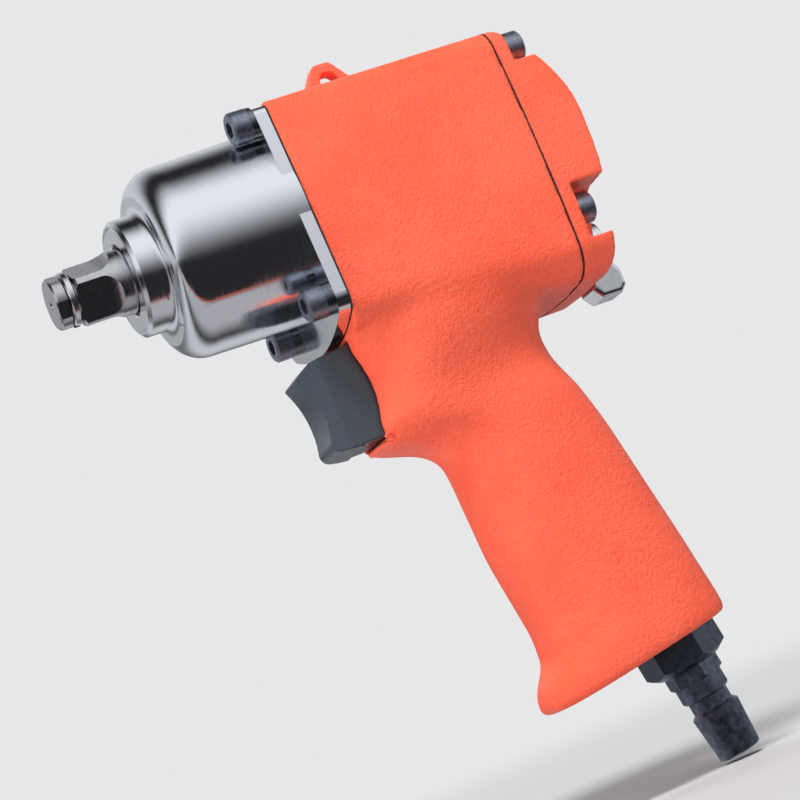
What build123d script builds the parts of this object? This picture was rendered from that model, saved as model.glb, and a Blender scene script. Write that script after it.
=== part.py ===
"""Pneumatic impact wrench with a pistol grip, as an assembly of separate pieces.

Frame, in millimetres: the origin is the centre of the square drive's front face,
+X points forward out of the drive, +Y to the tool's left, +Z up.
"""
import os
from math import cos, pi, radians, sin

from build123d import *

os.makedirs("parts", exist_ok=True)

# ---------------------------------------------------------------- driving dimensions
# Stations along the drive axis, measured back from the drive's front face.
DRIVE_REACH = 64.2
FACE_X = -DRIVE_REACH            # front face of the motor housing
NOSE_X = FACE_X + 44.5           # front face of the hammer case
SEAM_X = FACE_X - 62.4           # rear face of the motor housing
REAR_X = FACE_X - 79.6           # crown of the rear cover

GASKET = 0.5                     # under the hammer case
REAR_GASKET = 0.35               # under the rear cover
RUN_GAP = 0.05                   # radial gap of a running fit
SEAT_GAP = 0.02                  # radial gap of a seated, non-turning fit

# Square drive
SQUARE = 12.7
SQUARE_CORNER_R = 8.2
TIP_R = 6.75
TIP_X = -3.0                     # rear of the round tip
DRIVE_TWIST = -31.4              # resting angle of the square about the drive axis
SHANK_R = 8.5

# Hammer case
CASE_R = 25.3
CASE_BORE_R = 22.0
NOSE_R = 15.3
FLANGE_T = 3.2
FLANGE_X = FACE_X + GASKET       # rear face of the case flange
FLANGE_FRONT_X = FLANGE_X + FLANGE_T

# Screws: M5 socket caps with spring washers
BOLT_R = 2.5
BOLT_HOLE_R = 2.52
CLEAR_R = 2.75
HEAD_R = 4.25
HEAD_H = 5.0
HEX_AF = 4.0
WASHER_T = 1.2
FRONT_BOLTS = [(19.0, 23.4), (-19.0, 23.4), (19.0, -25.1), (-19.0, -25.1)]
REAR_BOLTS = [(18.5, 21.8), (-18.5, 21.8), (18.5, -24.6), (-18.5, -24.6)]
THREAD_DEPTH = 14.0
SCREW_LENGTH = 16.0
SCREW_CHAMFER = 0.5
HEAD_CHAMFER = 0.55
SOCKET_DEPTH = 2.6

# Motor
MOTOR_BORE_R = 21.0
LINER_R = MOTOR_BORE_R - SEAT_GAP
LINER_BORE_R = 16.5
LINER_OFFSET = 1.6               # the liner's bore sits this far above the rotor axis
ROTOR_R = 14.6
VANES = 6
PLATE_T = 7.5
FRONT_PLATE_X = FACE_X - 0.3     # front face of the front end plate
LINER_FRONT_X = FRONT_PLATE_X - PLATE_T
LINER_REAR_X = SEAM_X + PLATE_T
ROTOR_SHAFT_R = 5.0
REAR_SHAFT_R = 4.0
FRONT_BEARING_R = 11.0
REAR_BEARING_R = 9.0
DOWEL_R = 1.5
DOWEL_AT = (14.1, -11.4)
VANE_T = 1.9
VANE_GAP = 0.1
FRONT_BEARING_W = 6.0
REAR_BEARING_W = 5.0
SHIELD_IN = 1.4                  # width of a bearing race beside its shield
SHIELD_STEP = 0.4
DOWEL_DEPTH = 4.0
SLOT_ROOT_R = 6.6

# Grip: its axis leans back from the vertical
RAKE = 8.5
GRIP_BASE = (FACE_X - 53.6, -135.3)      # X, Z where the axis leaves the grip

# Trigger and throttle
TRIGGER_Z = -50.0
TRIGGER_HALF = 9.0
TRIGGER_LOW_Z = -61.9
TRIGGER_HIGH_Z = -35.4
TRIGGER_TOE_Z = -60.3            # its underside rises towards the finger face
TRIGGER_TIP_X = FACE_X + 15.6
FINGER_HALF = 4.6                # half width of the finger face
BEVEL_X = FACE_X + 9.0           # where the sides turn in towards it
SLOT_HALF = 9.4
SLOT_TOP = -34.9
SLOT_FLOOR = -62.1
SLOT_BACK_X = FACE_X - 15.0
RECESS_R = 30.0                  # hollow front of the trigger guard
RECESS_AT = (FACE_X + 28.5, -48.0)
THROTTLE_R = 5.5
THROTTLE_END_X = FACE_X - 44.0
TRIGGER_REAR_X = FACE_X - 8.0
TRIGGER_TRAVEL = 6.0
STEM_R = 1.9
VALVE_FACE_X = FACE_X - 28.0
PIN_HALF = 10.6
PIN_R = 0.8
PIN_DX = -1.2                    # trigger pin, forward of the housing face
PIN_Z = -61.9
SEAT_BORE_R = 3.4
SEAT_W = 4.0
GUIDE_W = 5.0
POPPET_R = 4.4
POPPET_W = 2.9
POPPET_STEM_R = 1.8
POPPET_STEM_W = 4.0
SPRING_PITCH = 2.3
SPRING_R = 3.2
SPRING_WIRE_R = 0.4

# Reversing valve
VALVE_Z = -31.5
VALVE_R = 5.5
VALVE_FRONT_X = SEAM_X + 18.0
GALLERY_R = 3.5
VALVE_PORT_X = SEAM_X + 13.0      # feed port, above the valve
VALVE_PORT_R = 2.0
VALVE_BORE_R = 2.4

# Air passages in the grip
INLET_BORE_R = 5.5
INLET_TOP = 88.0
INLET_THREAD_R = 8.5
INLET_THREAD_H = 16.0
BUSHING_BORE_R = 4.5
EXHAUST_R = 5.2
EXHAUST_FORWARD = 20.0
EXHAUST_DUCT_Y = 9.0
EXHAUST_DUCT_X = FACE_X - 25.0
EXHAUST_DUCT_Z = -72.0
EXHAUST_TOP = 67.0
DUCT_R = 3.0
DUCT_H = 55.0
RISER_X = FACE_X - 24.0
PORT_REACH = 20.0                # how far a port's cutter goes through the liner's wall
PORT_Z = -10.0
INLET_AF = 20.0
INLET_TWIST = 32.0
HEX_H = 8.1
PLUG_AF = 13.4
PLUG_TWIST = 25.0
PLUG_THREAD_R = 6.0
PLUG_THREAD_H = 9.0
PLUG_END = -33.3
PLUG_HEX_END = -12.2
PLUG_BORE_R = 3.4
PLUG_NOSE_R = 5.4
COLLAR_R = 6.6
LOCK_GROOVE_R = 5.45
HEX_END_R = 8.6                  # flat end face of the hexagon, inside its round chamfer
HEX_TAPER = 58.0
MUFFLER_R = 7.5
MUFFLER_TOP = 9.0

# Hanger lug
LUG_T = 5.0
LUG_HOLE_R = 2.5
LUG_HOLE_Z = 32.8
LUG_HOLE_X = FACE_X - 26.4
LUG_TOP_Z = 38.2
LUG_FOOT_Z = 26.0
LUG_CORNER_R = 2.0

# Rear cover. Its rear face bows in side view through these points, each a distance
# forward of the crown and a height, and a large radius rounds it from side to side.
COVER_X = SEAM_X - REAR_GASKET
COVER_PROFILE = [
    (15.2, 28.5), (5.3, 16.3), (0.5, 4.0), (0.3, -8.6), (1.3, -18.5),
    (5.0, -33.0), (6.0, -38.5), (12.5, -45.0),
]
CROWN_R = 200.0
UPPER_NOTCH = (16.5, 60.0)
LOWER_NOTCH = (-33.8, -18.8)
NOTCH_INNER = {UPPER_NOTCH: 12.5, LOWER_NOTCH: 9.6}
NOTCH_CORNER_R = 4.0
NOTCH_FLOOR_X = FACE_X - 66.6
SHAFT_POCKET_R = 7.0
SHAFT_POCKET_DEPTH = 3.0

# Reversing lever, in a recess of the rear cover
RECESS_X = FACE_X - 70.0
LEVER_HUB_R = 6.2
LEVER_REAR_X = FACE_X - 79.0
LEVER_SCREW_R = 1.5
VALVE_STEM_R = 3.5
PAD_HALF = 5.0
PAD_EDGE_R = 1.2
ARM_W = 7.0
ARM_H = 6.5
LEVER_SCREW_HEAD_R = 2.75
LEVER_SCREW_HEAD_H = 2.0
LEVER_SCREW_HEX = 2.5

# Hammer case profile
SHOULDER_X = FACE_X + 29.7
SHOULDER_R = 8.0
NECK_X = FACE_X + 37.2
CHAMBER_X = FACE_X + 29.5
BUSH_R = 12.0
NOSE_RING_X = NOSE_X - 2.0
NOSE_RING_R = 13.8

# Anvil and the twin hammers
RUNOUT_X = FACE_X + 51.5
GROOVE_R = 5.0
GROOVE_REAR_X = -5.8
FRICTION_IN_R = 5.9
FRICTION_OUT_R = 7.15
FRICTION_X = (-5.3, -3.5)
FRICTION_CHAMFER = 0.3
FRICTION_SPLIT = 1.6
PILOT_R = 5.0
THRUST_X = FACE_X + 28.8
THRUST_R = 13.0
REAR_DISC_X = FACE_X + 1.2
REAR_HAMMER_X = FACE_X + 5.6
FRONT_HAMMER_X = FACE_X + 14.0
FRONT_DISC_X = FACE_X + 22.4
JAW_REAR_X = REAR_HAMMER_X
JAW_CORE_R = 8.2
JAW_R = 10.8
JAW_HALF_ANGLE = 20.0
JAW_TURN = 41.0
TOOTH_LAG = 41.0
TOOTH_R = 9.4
HAMMER_R = 19.2
HAMMER_BORE_R = 11.8
FRAME_R = 21.4
DISC_T = 3.0
HAMMER_GAP = 0.4                 # end play beside each hammer
WEB_HALF_ANGLE = 22.0
TOOTH_HALF_ANGLE = 13.0
HAMMER_PIN_R = 3.0
PIN_CIRCLE_R = 18.0
NOTCH_START_R = 14.5
NOTCH_HALF = 5.4
DRIVE_HEX_AF = 8.0

ON_BASE = (Align.CENTER, Align.CENTER, Align.MIN)
UNDER_TOP = (Align.CENTER, Align.CENTER, Align.MAX)


# ---------------------------------------------------------------- shared shapes
def rod(radius, x_from, x_to, y=0.0, z=0.0, mode=Mode.ADD):
    """A cylinder along X between two stations."""
    with Locations((x_from, y, z)):
        Cylinder(
            radius, x_to - x_from, rotation=(0, 90, 0),
            align=ON_BASE, mode=mode,
        )


def turned(*outline, mode=Mode.ADD):
    """A solid of revolution about the drive axis from (X, radius) points."""
    with BuildSketch(Plane.XZ, mode=Mode.PRIVATE) as profile:
        with BuildLine():
            Polyline(*outline, close=True)
        make_face()
    revolve(profile.sketch, Axis.X, mode=mode)


def ring(x_from, x_to, inner, outer, mode=Mode.ADD):
    """A plain ring round the drive axis."""
    turned((x_from, inner), (x_to, inner), (x_to, outer), (x_from, outer), mode=mode)


def hex_pocket(across_flats, x_mouth, depth, y, z):
    """A hexagon socket that opens at x_mouth, cut along X."""
    plane = Plane.YZ.offset(min(x_mouth, x_mouth - depth))
    with BuildSketch(plane, mode=Mode.PRIVATE) as key:
        with Locations((y, z)):
            RegularPolygon(across_flats / 2, 6, major_radius=False)
    extrude(key.sketch, amount=abs(depth), mode=Mode.SUBTRACT)


def socket_screw(seat_x, facing, y, z, length):
    """A socket cap screw; its head stands on seat_x and faces +X (1) or -X (-1)."""
    top_x = seat_x + facing * HEAD_H
    end_x = seat_x - facing * length
    with BuildSketch(Plane.XZ, mode=Mode.PRIVATE) as profile:
        with BuildLine():
            Polyline(
                (end_x, 0), (end_x, BOLT_R - SCREW_CHAMFER),
                (end_x + facing * SCREW_CHAMFER, BOLT_R),
                (seat_x, BOLT_R), (seat_x, HEAD_R - 0.15), (seat_x + facing * 0.15, HEAD_R),
                (top_x - facing * HEAD_CHAMFER, HEAD_R), (top_x, HEAD_R - HEAD_CHAMFER), (top_x, 0),
                close=True,
            )
        make_face()
    turned_screw = revolve(profile.sketch, Axis.X, mode=Mode.PRIVATE)
    add(turned_screw.moved(Location((0, y, z))))
    hex_pocket(HEX_AF, top_x if facing > 0 else top_x + SOCKET_DEPTH, SOCKET_DEPTH, y, z)


def spring_washer(x_from, y, z):
    """A split lock washer under a screw head."""
    with BuildSketch(Plane.YZ.offset(x_from), mode=Mode.PRIVATE) as profile:
        with Locations((y, z)):
            Circle(HEAD_R - 0.1)
            Circle(BOLT_R + 0.1, mode=Mode.SUBTRACT)
        with Locations((y, z + HEAD_R)):
            Rectangle(0.7, 2 * HEAD_R - 2 * BOLT_R, rotation=20, mode=Mode.SUBTRACT)
    extrude(profile.sketch, amount=WASHER_T)


def outline_face(x, sides, crowns, radii):
    """A symmetric four-sided outline with bowed sides and rounded corners at X = x.

    sides holds (half width, Z) at the top corner, the middle and the bottom corner;
    crowns the Z of the top and bottom at Y = 0; radii the top and bottom corners.
    """
    (w_top, z_top), (w_mid, z_mid), (w_low, z_low) = sides
    with BuildSketch(Plane.YZ.offset(x), mode=Mode.PRIVATE) as face:
        with BuildLine():
            ThreePointArc((-w_top, z_top), (0, crowns[0]), (w_top, z_top))
            ThreePointArc((w_top, z_top), (w_mid, z_mid), (w_low, z_low))
            ThreePointArc((w_low, z_low), (0, crowns[1]), (-w_low, z_low))
            ThreePointArc((-w_low, z_low), (-w_mid, z_mid), (-w_top, z_top))
        make_face()
        corners = face.vertices().sort_by(Axis.Y)
        fillet(corners[2:], radii[0])
        fillet(face.vertices().sort_by(Axis.Y)[:2], radii[1])
    return face.sketch


def sector(x_low, x_high, radius, half_angle, turn, inner=0.0, mode=Mode.ADD):
    """A wedge about the drive axis, centred on an angle from +Y towards +Z."""
    with BuildSketch(Plane.YZ.offset(x_low), mode=Mode.PRIVATE) as wedge:
        with BuildLine():
            rim = CenterArc((0, 0), radius, turn - half_angle, 2 * half_angle)
            Polyline(rim @ 1, (0, 0), rim @ 0)
        make_face()
        if inner:
            Circle(inner, mode=Mode.SUBTRACT)
    extrude(wedge.sketch, amount=x_high - x_low, mode=mode)


FRONT_SIDES = [(23.9, 26.9), (24.9, -2.0), (24.0, -33.6)]
REAR_SIDES = [(25.2, 26.9), (26.6, -5.0), (24.7, -41.6)]
FRONT_CROWNS = (27.5, -36.2)
REAR_CROWNS = (27.9, -43.2)


def body_face_front(x):
    return outline_face(x, FRONT_SIDES, FRONT_CROWNS, (2.6, 7.5))


def body_face_rear(x):
    return outline_face(x, REAR_SIDES, REAR_CROWNS, (6.0, 10.0))


def flange_face(x):
    sides = [(23.3, 26.2), (25.0, 1.0), (26.4, -29.5)]
    return outline_face(x, sides, (26.5, -34.6), (2.4, 5.0))


def grip_plane(along):
    """The plane across the grip's axis, that far up from the grip's base."""
    lean = radians(RAKE)
    base_x, base_z = GRIP_BASE
    return Plane(
        origin=(base_x + along * sin(lean), 0, base_z + along * cos(lean)),
        x_dir=(cos(lean), 0, -sin(lean)), z_dir=(sin(lean), 0, cos(lean)),
    )


def grip_rod(radius, start, end, mode=Mode.ADD, forward=0.0, inner=0.0):
    """A cylinder along the grip's axis, or a tube if inner is given."""
    with BuildSketch(grip_plane(start), mode=Mode.PRIVATE) as section:
        with Locations((forward, 0)):
            Circle(radius)
            if inner:
                Circle(inner, mode=Mode.SUBTRACT)
    extrude(section.sketch, amount=end - start, mode=mode)


def grip_section(along, rear, front, half_width, power=2.7, count=28):
    """A rounded grip outline, a superellipse between its rear and front points."""
    middle, half_chord = (rear + front) / 2, (front - rear) / 2
    points = []
    for step in range(count):
        angle = 2 * pi * step / count
        c, s = cos(angle), sin(angle)
        radius = (abs(c) ** power + abs(s) ** power) ** (-1 / power)
        points.append((middle + half_chord * radius * c, half_width * radius * s))
    with BuildSketch(grip_plane(along), mode=Mode.PRIVATE) as section:
        with BuildLine():
            Spline(*points, periodic=True)
        make_face()
    return section.sketch


# ---------------------------------------------------------------- motor housing
# Each row: distance up the grip, rear and front points from the axis, half width.
GRIP_ROWS = [
    (0.0, -14.2, 38.2, 16.0), (2.2, -15.2, 39.5, 16.8), (6.2, -15.2, 38.0, 16.9),
    (11.7, -15.0, 33.2, 16.7), (20.7, -14.8, 31.4, 16.6), (38.7, -14.1, 31.2, 16.7),
    (54.7, -13.4, 29.5, 16.9), (67.0, -12.0, 28.2, 17.1), (72.2, -10.9, 30.4, 17.2),
    (76.2, -10.0, 37.0, 17.3), (79.2, -9.8, 43.0, 17.4), (82.7, -9.9, 45.2, 17.9),
    (86.7, -11.0, 42.9, 18.8), (91.7, -15.2, 40.6, 20.6), (96.7, -21.0, 39.8, 22.2),
    (102.7, -25.6, 40.6, 23.4), (110.7, -26.0, 47.0, 23.8), (118.7, -26.0, 50.0, 23.4),
]
GRIP_TOP = GRIP_ROWS[-1][0]
GRIP_SECTIONS = 41


def grip_row(along):
    """The grip's outline at any distance up it, by smooth steps between the rows."""
    upper = next(i for i in range(1, len(GRIP_ROWS)) if GRIP_ROWS[i][0] >= along)
    low, high = GRIP_ROWS[upper - 1], GRIP_ROWS[upper]
    share = (along - low[0]) / (high[0] - low[0])

    def slope(index, column):
        """A slope that never overshoots: zero at a peak, else the harmonic mean."""
        if index in (0, len(GRIP_ROWS) - 1):
            return 0.0
        before, here, after = GRIP_ROWS[index - 1: index + 2]
        rise_in = (here[column] - before[column]) / (here[0] - before[0])
        rise_out = (after[column] - here[column]) / (after[0] - here[0])
        if rise_in * rise_out <= 0:
            return 0.0
        return 2 * rise_in * rise_out / (rise_in + rise_out)

    span = high[0] - low[0]
    values = []
    for column in (1, 2, 3):
        start, end = low[column], high[column]
        leave, arrive = slope(upper - 1, column) * span, slope(upper, column) * span
        values.append(
            start * (2 * share**3 - 3 * share**2 + 1) + leave * (share**3 - 2 * share**2 + share)
            + end * (3 * share**2 - 2 * share**3) + arrive * (share**3 - share**2)
        )
    return (along, *values)


GRIP_STATIONS = [GRIP_TOP * i / (GRIP_SECTIONS - 1) for i in range(GRIP_SECTIONS)]

with BuildPart() as motor_housing:
    # The motor body, and the grip that grows out of its underside.
    loft([body_face_front(FACE_X), body_face_rear(SEAM_X)], ruled=True)
    loft([grip_section(*grip_row(along)) for along in GRIP_STATIONS])

    # Flat faces at the front and the rear, and the hollow front of the trigger guard.
    with Locations((FACE_X, 0, -30)):
        Box(30, 80, 62, align=(Align.MIN, Align.CENTER, Align.CENTER), mode=Mode.SUBTRACT)
    with Locations((SEAM_X, 0, -30)):
        Box(30, 80, 62, align=(Align.MAX, Align.CENTER, Align.CENTER), mode=Mode.SUBTRACT)
    with Locations((RECESS_AT[0], 0, RECESS_AT[1])):
        Cylinder(RECESS_R, 80, rotation=(90, 0, 0), mode=Mode.SUBTRACT)

    # Hanger lug on top, with a hole through it.
    with BuildSketch(Plane.XZ) as lug:
        with BuildLine():
            Polyline(
                (FACE_X - 15, LUG_FOOT_Z), (FACE_X - 23.4, LUG_TOP_Z),
                (FACE_X - 28.2, LUG_TOP_Z), (FACE_X - 37, LUG_FOOT_Z), close=True,
            )
        make_face()
        fillet(lug.vertices().group_by(Axis.Y)[-1], LUG_CORNER_R)
    extrude(amount=LUG_T / 2, both=True)
    with Locations((LUG_HOLE_X, 0, LUG_HOLE_Z)):
        Cylinder(LUG_HOLE_R, LUG_T * 2, rotation=(90, 0, 0), mode=Mode.SUBTRACT)

    # Motor bore, reversing valve bore and the feed gallery that runs on from it.
    rod(MOTOR_BORE_R, SEAM_X - 1, FACE_X + 1, mode=Mode.SUBTRACT)
    rod(VALVE_R + RUN_GAP, SEAM_X - 1, VALVE_FRONT_X, z=VALVE_Z, mode=Mode.SUBTRACT)
    rod(GALLERY_R, SEAM_X - 1, FACE_X - 20, z=VALVE_Z, mode=Mode.SUBTRACT)

    # Screw holes in both end faces.
    for y, z in FRONT_BOLTS:
        rod(BOLT_HOLE_R, FACE_X - THREAD_DEPTH, FACE_X + 1, y, z, Mode.SUBTRACT)
    for y, z in REAR_BOLTS:
        rod(BOLT_HOLE_R, SEAM_X - 1, SEAM_X + THREAD_DEPTH, y, z, Mode.SUBTRACT)

    # Trigger slot and the throttle bore behind it.
    with Locations((SLOT_BACK_X, 0, (SLOT_TOP + SLOT_FLOOR) / 2)):
        Box(
            40, 2 * SLOT_HALF, SLOT_TOP - SLOT_FLOOR,
            align=(Align.MIN, Align.CENTER, Align.CENTER), mode=Mode.SUBTRACT,
        )
    rod(THROTTLE_R, THROTTLE_END_X, SLOT_BACK_X + 1, z=TRIGGER_Z, mode=Mode.SUBTRACT)

    # Air rises from the throttle to the gallery, and from the inlet to the throttle.
    with Locations((RISER_X, 0, TRIGGER_Z)):
        Cylinder(DUCT_R, VALVE_Z - TRIGGER_Z, align=ON_BASE, mode=Mode.SUBTRACT)
    grip_rod(INLET_BORE_R, -1, INLET_TOP, Mode.SUBTRACT)
    grip_rod(INLET_THREAD_R, -1, INLET_THREAD_H, Mode.SUBTRACT)

    # Exhaust: two ducts past the throttle, a passage across, and a chamber down the grip.
    for side in (-1, 1):
        with Locations((EXHAUST_DUCT_X, side * EXHAUST_DUCT_Y, EXHAUST_DUCT_Z)):
            Cylinder(DUCT_R, DUCT_H, align=ON_BASE, mode=Mode.SUBTRACT)
    with Locations((EXHAUST_DUCT_X, 0, EXHAUST_DUCT_Z + DUCT_R)):
        Cylinder(DUCT_R, 2 * EXHAUST_DUCT_Y, rotation=(90, 0, 0), mode=Mode.SUBTRACT)
    grip_rod(EXHAUST_R, MUFFLER_TOP - 1, EXHAUST_TOP, Mode.SUBTRACT, forward=EXHAUST_FORWARD)
    grip_rod(MUFFLER_R, -1, MUFFLER_TOP, Mode.SUBTRACT, forward=EXHAUST_FORWARD)

    # Cross hole for the trigger pin.
    with Locations((FACE_X + PIN_DX, 0, PIN_Z)):
        Cylinder(PIN_R + SEAT_GAP, 60, rotation=(90, 0, 0), mode=Mode.SUBTRACT)

motor_housing.part.label = "motor_housing"
export_step(motor_housing.part, "parts/motor_housing.step")

with BuildPart() as rear_cover:
    # The body's outline carried back to the bowed rear face.
    extrude(body_face_rear(COVER_X), amount=REAR_X - COVER_X)
    with BuildSketch(Plane.XZ, mode=Mode.PRIVATE) as side_view:
        with BuildLine():
            rear_line = Spline(*[(REAR_X + forward, z) for forward, z in COVER_PROFILE])
            Polyline(rear_line @ 1, (COVER_X + 2, -50), (COVER_X + 2, 32), rear_line @ 0)
        make_face()
    revolve(
        side_view.sketch, Axis((REAR_X + CROWN_R, 0, 0), (0, 0, 1)), mode=Mode.INTERSECT
    )

    # Open corner notches where the screw heads sit.
    for side in (-1, 1):
        for (z_low, z_high), inner in NOTCH_INNER.items():
            with BuildSketch(Plane.YZ.offset(NOTCH_FLOOR_X)) as notch:
                with Locations((side * (inner + 20), (z_low + z_high) / 2)):
                    RectangleRounded(40, z_high - z_low, NOTCH_CORNER_R)
            extrude(amount=-40, mode=Mode.SUBTRACT)
    for y, z in REAR_BOLTS:
        rod(CLEAR_R, SEAM_X - 30, SEAM_X + 1, y, z, Mode.SUBTRACT)

    # Recess for the reversing lever, open to the rear and below, and the valve stem's hole.
    rod(LEVER_HUB_R + 1.2, REAR_X - 5, RECESS_X, z=VALVE_Z, mode=Mode.SUBTRACT)
    with BuildSketch(Plane.YZ.offset(RECESS_X)) as sweep_room:
        with BuildLine():
            Polyline((-8.0, VALVE_Z), (8.0, VALVE_Z), (12.5, -35), (12.5, -50),
                     (-12.5, -50), (-12.5, -35), close=True)
        make_face()
    extrude(amount=-40, mode=Mode.SUBTRACT)
    rod(VALVE_STEM_R + RUN_GAP, REAR_X, SEAM_X + 1, z=VALVE_Z, mode=Mode.SUBTRACT)

    # Pocket that keeps the cover clear of the rotor shaft's end.
    rod(SHAFT_POCKET_R, COVER_X - SHAFT_POCKET_DEPTH, SEAM_X + 1, mode=Mode.SUBTRACT)

rear_cover.part.label = "rear_cover"
export_step(rear_cover.part, "parts/rear_cover.step")

with BuildPart() as rear_gasket:
    extrude(body_face_rear(SEAM_X), amount=-REAR_GASKET)
    rod(MOTOR_BORE_R, SEAM_X - 1, SEAM_X + 1, mode=Mode.SUBTRACT)
    rod(VALVE_R, SEAM_X - 1, SEAM_X + 1, z=VALVE_Z, mode=Mode.SUBTRACT)
    for y, z in REAR_BOLTS:
        rod(CLEAR_R, SEAM_X - 1, SEAM_X + 1, y, z, Mode.SUBTRACT)

rear_gasket.part.label = "rear_gasket"
export_step(rear_gasket.part, "parts/rear_gasket.step")

# ---------------------------------------------------------------- hammer case and nose
with BuildPart() as hammer_case:
    extrude(flange_face(FLANGE_X), amount=FLANGE_T)
    with BuildSketch(Plane.XZ) as shell:
        with BuildLine():
            Polyline((FLANGE_X, 0), (FLANGE_X, CASE_R + 0.3), (FLANGE_FRONT_X, CASE_R + 0.3),
                     (SHOULDER_X, CASE_R - 0.3))
            shoulder = CenterArc((SHOULDER_X, CASE_R - 0.3 - SHOULDER_R), SHOULDER_R, 90, -70)
            Polyline(shoulder @ 1, (NECK_X, NOSE_R + 3.5), (NECK_X, NOSE_R + 2.0))
            CenterArc((NECK_X + 2.0, NOSE_R + 2.0), 2.0, 180, 90)
            Polyline((NECK_X + 2.0, NOSE_R), (NOSE_X - 0.9, NOSE_R), (NOSE_X, NOSE_R - 0.9),
                     (NOSE_X, 0), (FLANGE_X, 0))
        make_face()
    revolve(axis=Axis.X)

    # Hammer chamber, bush seat and the counterbore for the nose ring.
    turned(
        (FLANGE_X - 1, 0), (FLANGE_X - 1, CASE_BORE_R), (CHAMBER_X - 4, CASE_BORE_R),
        (CHAMBER_X, CASE_BORE_R - 4), (CHAMBER_X, BUSH_R), (NOSE_RING_X, BUSH_R),
        (NOSE_RING_X, NOSE_RING_R), (NOSE_X + 1, NOSE_RING_R), (NOSE_X + 1, 0),
        mode=Mode.SUBTRACT,
    )
    for y, z in FRONT_BOLTS:
        rod(CLEAR_R, FLANGE_X - 1, FLANGE_FRONT_X + 1, y, z, Mode.SUBTRACT)

hammer_case.part.label = "hammer_case"
export_step(hammer_case.part, "parts/hammer_case.step")

with BuildPart() as front_gasket:
    extrude(flange_face(FACE_X), amount=GASKET)
    rod(CASE_BORE_R, FACE_X - 1, FACE_X + 1, mode=Mode.SUBTRACT)
    for y, z in FRONT_BOLTS:
        rod(CLEAR_R, FACE_X - 1, FACE_X + 1, y, z, Mode.SUBTRACT)

front_gasket.part.label = "front_gasket"
export_step(front_gasket.part, "parts/front_gasket.step")

with BuildPart() as anvil_bushing:
    ring(CHAMBER_X + 0.4, NOSE_RING_X - 0.1, SHANK_R + RUN_GAP, BUSH_R - SEAT_GAP)

anvil_bushing.part.label = "anvil_bushing"
export_step(anvil_bushing.part, "parts/anvil_bushing.step")

with BuildPart() as nose_ring:
    turned(
        (NOSE_RING_X, SHANK_R + 0.8), (NOSE_X - 0.4, SHANK_R + 0.8), (NOSE_X, SHANK_R + 1.2),
        (NOSE_X, NOSE_RING_R - 0.4), (NOSE_X - 0.3, NOSE_RING_R - SEAT_GAP),
        (NOSE_RING_X, NOSE_RING_R - SEAT_GAP),
    )

nose_ring.part.label = "nose_ring"
export_step(nose_ring.part, "parts/nose_ring.step")

# ---------------------------------------------------------------- anvil
with BuildPart() as anvil:
    turned(
        (JAW_REAR_X - 3.0, 0), (JAW_REAR_X - 3.0, PILOT_R), (JAW_REAR_X, PILOT_R),
        (JAW_REAR_X, JAW_CORE_R), (THRUST_X - 2.2, JAW_CORE_R), (THRUST_X - 2.2, THRUST_R),
        (THRUST_X, THRUST_R), (THRUST_X, SHANK_R), (NOSE_X + 3.2, SHANK_R),
        (NOSE_X + 4.0, SQUARE_CORNER_R), (GROOVE_REAR_X - 0.5, SQUARE_CORNER_R),
        (GROOVE_REAR_X, SQUARE_CORNER_R - 0.6), (TIP_X, SQUARE_CORNER_R - 0.6),
        (TIP_X, TIP_R), (-0.5, TIP_R), (0, TIP_R - 0.5), (0, 0),
    )
    # Turned groove for the friction ring.
    ring(GROOVE_REAR_X, TIP_X, GROOVE_R, 12, mode=Mode.SUBTRACT)

    # Four milled flats that run out in an arc towards the shank.
    with BuildSketch(Plane.XZ) as flat_profile:
        with BuildLine():
            Polyline((1, SQUARE / 2), (1, 12), (RUNOUT_X - 5.0, 12))
            ThreePointArc((RUNOUT_X - 5.0, 12), (RUNOUT_X - 3.6, 8.0), (RUNOUT_X, SQUARE / 2))
            Line((RUNOUT_X, SQUARE / 2), (1, SQUARE / 2))
        make_face()
    flat_cut = extrude(amount=12, both=True, mode=Mode.PRIVATE)
    for quarter in range(4):
        add(flat_cut.rotate(Axis.X, 90 * quarter + DRIVE_TWIST), mode=Mode.SUBTRACT)
    # Centre drilling in the front face.
    turned((0.1, 0), (0.1, 1.2), (-1.6, 0.5), (-3.4, 0.5), (-3.6, 0), mode=Mode.SUBTRACT)

    # Striking jaws, one for each hammer, on opposite sides.
    for x_low, x_high, turn in ((REAR_HAMMER_X, FRONT_HAMMER_X - HAMMER_GAP, JAW_TURN),
                                (FRONT_HAMMER_X, FRONT_DISC_X - HAMMER_GAP, JAW_TURN + 180)):
        sector(x_low, x_high, JAW_R, JAW_HALF_ANGLE, turn)

anvil.part.label = "anvil"
export_step(anvil.part, "parts/anvil.step")

with BuildPart() as friction_ring:
    # A split steel ring that grips the socket.
    rear, front = FRICTION_X
    rim = FRICTION_OUT_R - FRICTION_CHAMFER
    turned(
        (rear, FRICTION_IN_R), (front, FRICTION_IN_R), (front, rim),
        (front - FRICTION_CHAMFER, FRICTION_OUT_R), (rear + FRICTION_CHAMFER, FRICTION_OUT_R),
        (rear, rim),
    )
    with Locations(((rear + front) / 2, 0, -FRICTION_OUT_R)):
        Box(4, FRICTION_SPLIT, 4, mode=Mode.SUBTRACT)

friction_ring.part.label = "friction_ring"
export_step(friction_ring.part, "parts/friction_ring.step")

with BuildPart() as friction_o_ring:
    ring(-5.2, -3.6, GROOVE_R + SEAT_GAP, FRICTION_IN_R - SEAT_GAP)

friction_o_ring.part.label = "friction_o_ring"
export_step(friction_o_ring.part, "parts/friction_o_ring.step")

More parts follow.
